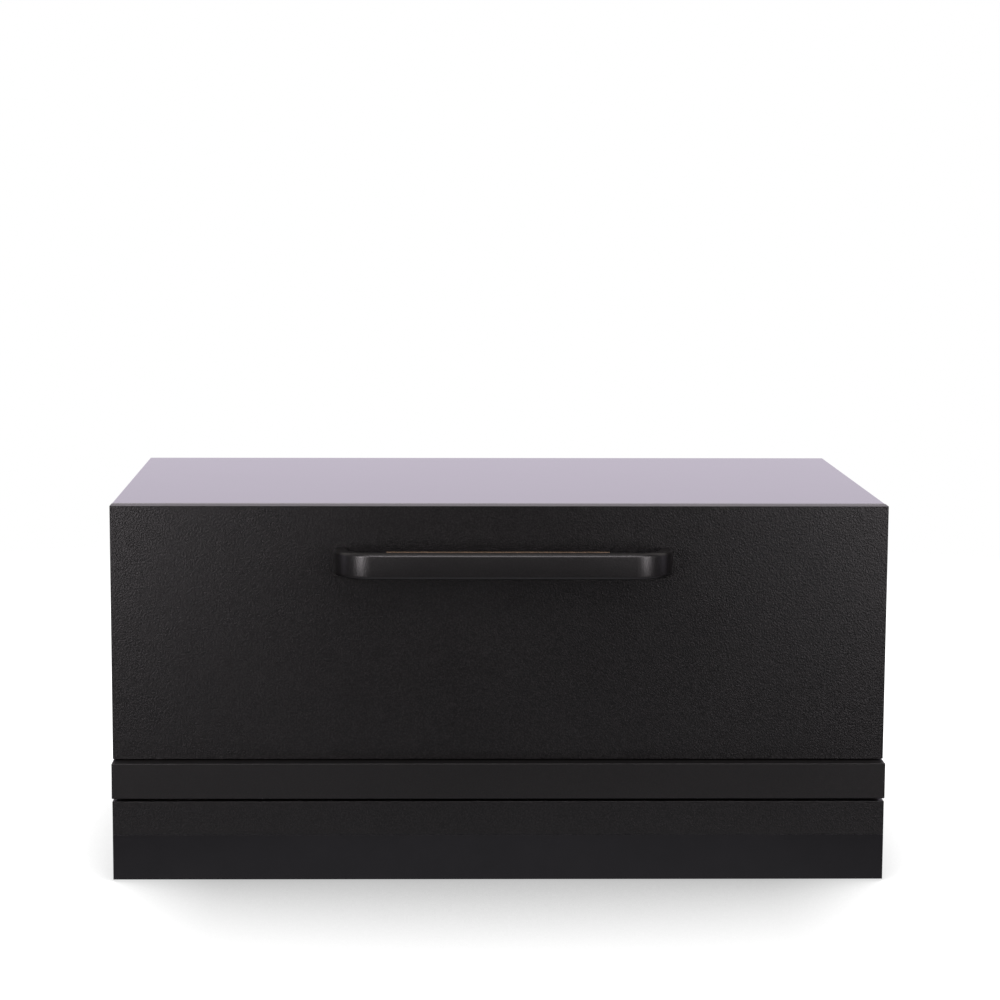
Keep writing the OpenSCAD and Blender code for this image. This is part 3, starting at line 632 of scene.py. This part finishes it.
add_ram_ribs()
for screw_side in ("left", "right"):
    add_power_screw(screw_side + "_power_screw", screw_side + "_screw")
SPROCKET_RADIUS = 18.5 * MM
SCREW_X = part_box("right_sprocket")[1][0] - SPROCKET_RADIUS
DRIVE_LOW, DRIVE_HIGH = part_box("drive_sprocket")
GEAR_AT = ((DRIVE_LOW[0] + DRIVE_HIGH[0]) / 2, (DRIVE_LOW[1] + DRIVE_HIGH[1]) / 2)
add_chain("sync_chain", "sync_roller_chain", (-SCREW_X, 0), (SCREW_X, 0))
add_chain("drive_chain", "drive_roller_chain", (SCREW_X, 0), GEAR_AT)
add_return_springs()


# ---------------------------------------------------------------- casing pieces

def add_louvres():
    """Hoods pressed inwards over the back panel's slots."""
    inside_y, sheet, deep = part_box("back_panel")[0][1], 1.0 * MM, 6 * MM
    rows, first_z, row_gap, middle_x, half_width = 8, 101 * MM, 12 * MM, 75 * MM, 54 * MM
    bm = bmesh.new()
    arc = [(math.sin(math.radians(t)), math.cos(math.radians(t))) for t in range(0, 91, 15)]
    for row in range(rows):
        top_z = first_z + row_gap * row
        outline = [(inside_y - deep * s, top_z - deep * (1 - c)) for s, c in arc]
        outline += [(inside_y - (deep - sheet) * s, top_z - sheet - (deep - sheet) * (1 - c))
                    for s, c in reversed(arc)]
        for side in (-1, 1):
            middle = side * middle_x
            prism(bm, outline, middle - half_width, middle + half_width, lambda u, v, depth: (depth, u, v))
    add_mesh("vent_louvres", bm, "galvanised", "cabinet")


def add_inlet_pins():
    """Three round-nosed blades in the power inlet's socket."""
    low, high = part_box("power_inlet")
    middle_x, middle_z = (low[0] + high[0]) / 2, (low[2] + high[2]) / 2
    start, end = high[1] - 17.2 * MM, high[1] - 4 * MM
    blade = (round_rect(2.0 * MM, 4.0 * MM, 0.5 * MM, 3), start, end)
    nose = (round_rect(1.3 * MM, 3.3 * MM, 0.5 * MM, 3), end, end + 0.6 * MM)
    bm = bmesh.new()
    for at_x, at_z in ((-7, -1.5), (0, 2.5), (7, -1.5)):
        at_x, at_z = middle_x + at_x * MM, middle_z + at_z * MM
        for outline, near, far in (blade, nose):
            prism(bm, outline, near, far, lambda u, v, depth: (at_x + u, depth, at_z + v))
    add_mesh("inlet_pins", bm, "zinc_steel", "cabinet")


def add_feet():
    """Turned rubber feet with a grip groove and a recess for the fixing screw."""
    low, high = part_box("feet")
    radius = 15 * MM
    tall = high[2] - low[2]
    profile = [(0, 3 * MM), (3.6 * MM, 3 * MM), (3.6 * MM, 0.6 * MM), (4.6 * MM, 0), (9.0 * MM, 0),
               (9.4 * MM, 0.6 * MM), (10.4 * MM, 0.6 * MM), (10.8 * MM, 0), (13.2 * MM, 0),
               (14.0 * MM, 0.4 * MM), (radius, 2.2 * MM), (radius, tall - 0.8 * MM),
               (radius - 0.8 * MM, tall), (0, tall)]
    bm = bmesh.new()
    for at_x in (low[0] + radius, high[0] - radius):
        for at_y in (low[1] + radius, high[1] - radius):
            lathe(bm, profile, (at_x, at_y, low[2]), 48)
    feet = add_mesh("rubber_feet", bm, "rubber", "cabinet")
    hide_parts("feet")


def add_control_marks():
    """Bezel rings round the button and key, a pilot lens, and on and off marks on the rocker."""
    pocket_low, pocket_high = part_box("control_pocket")
    pocket_depth = 4 * MM
    face_x = pocket_high[0] - pocket_depth
    bm = bmesh.new()
    for node in ("start_button", "key_cylinder"):
        low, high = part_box(node)
        at = (face_x, (low[1] + high[1]) / 2, (low[2] + high[2]) / 2)
        lathe(bm, [(8.1 * MM, 0), (8.1 * MM, 1.1 * MM), (8.9 * MM, 1.5 * MM), (9.8 * MM, 1.1 * MM),
                   (10.2 * MM, 0), (8.1 * MM, 0)], at, 48, "X")
    add_mesh("control_bezels", bm, "zinc_steel", "cabinet")
    bm = bmesh.new()
    lens_at = (face_x, (pocket_low[1] + pocket_high[1]) / 2, pocket_high[2] - 8.5 * MM)
    lathe(bm, [(2.6 * MM, 0), (2.6 * MM, 0.5 * MM), (2.2 * MM, 1.2 * MM), (1.2 * MM, 1.8 * MM),
               (0, 2.0 * MM)], lens_at, 32, "X")
    add_mesh("pilot_lens", bm, "red_rocker", "cabinet")
    low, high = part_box("power_rocker")
    lean, face, mark_rise, ring_radius = math.radians(8), 7 * MM, 7 * MM, 2.2 * MM
    pivot_x, pivot_y, pivot_z = 290 * MM, (low[1] + high[1]) / 2, 207 * MM
    pivot = Matrix.Translation((pivot_x, pivot_y, pivot_z)) @ Matrix.Rotation(lean, 4, "Y")
    bm = bmesh.new()
    prism(bm, round_rect(1.1 * MM, 5.5 * MM, 0.4 * MM, 3), face - 0.2 * MM, face + 0.25 * MM,
          lambda u, v, depth: pivot @ Vector((depth, u, mark_rise + v)))
    ring = [tuple(pivot @ Vector((face, u, v - mark_rise))) for u, v in circle(ring_radius, 28)]
    sweep(bm, ring, circle(0.4 * MM, 8), True, (1, 0, 0))
    add_mesh("rocker_marks", bm, "nylon", "power_rocker")


def smooth_route(points, steps=8):
    """A rounded line through the points, for a wire."""
    knots = [Vector(p) * MM for p in (points[0], *points, points[-1])]
    route = []
    for a, b, c, d in zip(knots, knots[1:], knots[2:], knots[3:]):
        for i in range(steps):
            t = i / steps
            route.append(0.5 * (2 * b + (c - a) * t + (2 * a - 5 * b + 4 * c - d) * t * t
                                + (3 * b - a - 3 * c + d) * t ** 3))
    return route + [knots[-1]]


def add_wiring():
    """The mains wires and the sleeved motor and capacitor leads, under the deck plate."""
    board_low, board_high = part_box("control_board")
    inlet_low, inlet_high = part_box("power_inlet")
    can_low, can_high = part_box("gearmotor_can")
    cap_low, cap_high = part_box("motor_capacitor")
    board_x, board_top = board_high[0] / MM, board_high[2] / MM
    back_y, inlet_x = inlet_low[1] / MM, (inlet_low[0] + inlet_high[0]) / 2 / MM
    bm = bmesh.new()
    for i in (-1, 0, 1):
        at_x = inlet_x + 6 * i
        route = smooth_route([(at_x, back_y + 1, 50), (at_x, back_y - 6, 51),
                              (at_x + 2 * i, back_y - 16, 55), (at_x + 3 * i, back_y - 27, 52),
                              (at_x + 3 * i, back_y - 30, board_top - 1)])
        sweep(bm, route, circle(1.2 * MM, 10))
    add_mesh("mains_wires", bm, "filter_grey", "cabinet")
    can_x, can_y = can_low[0] / MM, (can_low[1] + can_high[1]) / 2 / MM
    cap_x, cap_y = cap_low[0] / MM, (cap_low[1] + cap_high[1]) / 2 / MM
    bm = bmesh.new()
    sweep(bm, smooth_route([(board_x - 3, 78, 13), (board_x + 8, 78, 13), (-60, 82, 12.5), (10, 80, 12.5),
                            (can_x - 16, can_y + 4, 20), (can_x - 12, can_y, 44), (can_x + 1, can_y, 56)]),
          circle(3.2 * MM, 12))
    sweep(bm, smooth_route([(board_x - 3, 112, 14), (board_x + 14, 112, 14), (cap_x - 26, 116, 16),
                            (cap_x - 12, cap_y, 28), (cap_x + 1, cap_y, 31)]), circle(2.4 * MM, 12))
    add_mesh("sleeved_leads", bm, "rubber", "cabinet")


add_wiring()
add_louvres()
add_inlet_pins()
add_feet()
add_control_marks()


# ---------------------------------------------------------------- stage, light and camera

FLOOR_HALF = 6.0
FLOOR_FADE = (1.0, 1.7)  # metres from the middle, where the floor fades to nothing
BOUNCE_LEVEL = 0.33  # what the object gets from the floor close by
BOUNCE_FADE = (0.3, 0.75)  # metres from the middle, where that bounce fades to nothing
PAINTED_SHADOW_REACH = 0.3  # how far, in metres, the painted contact shadow reaches on the floor that the camera sees
PAINTED_SHADOW_RANGE, PAINTED_SHADOW_LEVELS = (0.5, 0.9), (0.53, 1.05)  # openness, and the floor's level there, which paints the contact shadow
PAINTED_LIGHT_RANGE, PAINTED_LIGHT_LIFT = (0.2, 0.36), 0.38  # metres sideways, and the painted light added beyond them
BACKDROP, ABOVE_BACKDROP = (0.88, 0.805, 0.943), (0.86, 0.8, 0.78)
CEILING = (0.3, 0.29, 0.28)
FRONT_DARK = (0.045, 0.043, 0.044)
LIGHT_COLOR = (1.0, 0.935, 0.965)
LIGHT_TARGET = (0, -0.1, 0.2)
SIDE_SIZE, TOP_SIZE = (0.3, 0.7), (1.0, 0.6)
SOFTBOXES = (
    # name, place, size, power
    ("softbox_left", (-0.62, -1.0, 0.42), SIDE_SIZE, 4.0),
    ("softbox_right", (0.62, -1.0, 0.42), SIDE_SIZE, 3.0),
    ("softbox_front", (0, -1.15, 1.3), TOP_SIZE, 7.5),
)


def floor_material():
    """A white emitting floor for the camera, with a painted contact shadow near the object and painted
    light beside it, and a dimmer, fading glow for the object.
    """
    material = bpy.data.materials.new("floor_white")
    material.use_nodes = True
    tree = material.node_tree
    tree.nodes.clear()

    def shader(kind, color, strength=None):
        node = tree.nodes.new(kind)
        node.inputs["Color"].default_value = (*color, 1)
        if strength is not None:
            tree.links.new(strength, node.inputs["Strength"])
        return node.outputs[0]

    def mix(factor, first, second):
        node = tree.nodes.new("ShaderNodeMixShader")
        for socket, output in zip(node.inputs, (factor, first, second)):
            tree.links.new(output, socket)
        return node.outputs[0]

    def measure(kind, operation, *outputs):
        node = tree.nodes.new(kind)
        node.operation = operation
        for socket, output in zip(node.inputs, outputs):
            tree.links.new(output, socket)
        return node.outputs["Value"]

    coords = tree.nodes.new("ShaderNodeTexCoord").outputs["Object"]
    split = tree.nodes.new("ShaderNodeSeparateXYZ")
    tree.links.new(coords, split.inputs["Vector"])
    beside = measure("ShaderNodeMath", "ABSOLUTE", split.outputs["X"])
    reach = measure("ShaderNodeVectorMath", "LENGTH", coords)
    shadow_ao = tree.nodes.new("ShaderNodeAmbientOcclusion")
    shadow_ao.samples = 16
    shadow_ao.inputs["Distance"].default_value = PAINTED_SHADOW_REACH

    # what the camera sees: a painted shadow, darker close to the object, and painted light lifting it again
    # beside it
    painted_shadow = map_range(tree, shadow_ao.outputs["AO"], *PAINTED_SHADOW_RANGE, *PAINTED_SHADOW_LEVELS)
    painted_side_light = map_range(tree, beside, *PAINTED_LIGHT_RANGE, 0.0, PAINTED_LIGHT_LIFT, smooth=True)
    seen = shader("ShaderNodeEmission", (1, 1, 1), measure("ShaderNodeMath", "ADD", painted_shadow, painted_side_light))

    # what the object sees
    glow = map_range(tree, reach, *BOUNCE_FADE, BOUNCE_LEVEL, 0.0)
    bounce = shader("ShaderNodeEmission", (0.97, 0.95, 1.0), glow)

    eye = tree.nodes.new("ShaderNodeLightPath").outputs["Is Camera Ray"]
    clear = shader("ShaderNodeBsdfTransparent", (1, 1, 1))
    whole = mix(map_range(tree, reach, *FLOOR_FADE, 1.0, 0.0), clear, mix(eye, bounce, seen))
    out = tree.nodes.new("ShaderNodeOutputMaterial")
    tree.links.new(whole, out.inputs["Surface"])
    return material


def add_floor():
    bm = bmesh.new()
    bmesh.ops.create_grid(bm, x_segments=8, y_segments=8, size=FLOOR_HALF)
    mesh = bpy.data.meshes.new("floor")
    bm.to_mesh(mesh)
    bm.free()
    floor = bpy.data.objects.new("floor", mesh)
    bpy.context.scene.collection.objects.link(floor)
    floor.data.materials.append(floor_material())


def add_world():
    """White to the camera; to the object, lilac behind, paler above it and dark in front."""
    world = bpy.data.worlds.new("studio")
    world.use_nodes = True
    bpy.context.scene.world = world
    tree = world.node_tree
    background = tree.nodes["Background"]
    split = tree.nodes.new("ShaderNodeSeparateXYZ")
    tree.links.new(tree.nodes.new("ShaderNodeTexCoord").outputs["Generated"], split.inputs["Vector"])

    def step(axis, low, high):
        return map_range(tree, split.outputs[axis], low, high, smooth=True)

    def mix(factor, first, second):
        node = tree.nodes.new("ShaderNodeMix")
        node.data_type = "RGBA"
        tree.links.new(factor, node.inputs["Factor"])
        for socket, value in ((node.inputs[6], first), (node.inputs[7], second)):
            if isinstance(value, tuple):
                socket.default_value = (*value, 1)
            else:
                tree.links.new(value, socket)
        return node.outputs[2]

    behind = mix(step("Z", 0.2, 0.34), BACKDROP, ABOVE_BACKDROP)
    high_up = mix(step("Z", 0.62, 0.95), behind, CEILING)
    whole = mix(step("Y", -0.35, 0.35), FRONT_DARK, high_up)
    eye = tree.nodes.new("ShaderNodeLightPath").outputs["Is Camera Ray"]
    tree.links.new(mix(eye, whole, (1.0, 1.0, 1.0)), background.inputs["Color"])


def add_softbox(name, place, size, power):
    light = bpy.data.lights.new(name, "AREA")
    light.shape = "RECTANGLE"
    light.size, light.size_y = size
    light.energy = power
    light.color = LIGHT_COLOR
    obj = bpy.data.objects.new(name, light)
    obj.location = place
    obj.rotation_euler = (Vector(LIGHT_TARGET) - Vector(place)).to_track_quat("-Z", "Y").to_euler()
    bpy.context.scene.collection.objects.link(obj)


def add_camera():
    """The photograph's viewpoint: slightly left of centre, above, and nearly square on."""
    front_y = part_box("drawer_skin")[0][1]
    place = (-0.0718, front_y - 2.0243, 0.5596)
    tilt, yaw, roll = (math.radians(a) for a in (7.37, 0.75, 0.136))
    ahead = Vector((math.sin(yaw) * math.cos(tilt), math.cos(yaw) * math.cos(tilt), -math.sin(tilt)))
    level = Vector((math.cos(yaw), -math.sin(yaw), 0))
    above = level.cross(ahead)
    right = level * math.cos(roll) + above * math.sin(roll)
    up = above * math.cos(roll) - level * math.sin(roll)
    data = bpy.data.cameras.new("camera")
    data.sensor_width = 36.0
    data.lens = 95.5728
    data.shift_x = 0.059
    camera = bpy.data.objects.new("camera", data)
    turn = Matrix((right, up, -ahead)).transposed()
    camera.matrix_world = Matrix.Translation(place) @ turn.to_4x4()
    bpy.context.scene.collection.objects.link(camera)
    bpy.context.scene.camera = camera


add_floor()
add_world()
for softbox in SOFTBOXES:
    add_softbox(*softbox)
add_camera()
bpy.context.scene.view_settings.view_transform = "Standard"
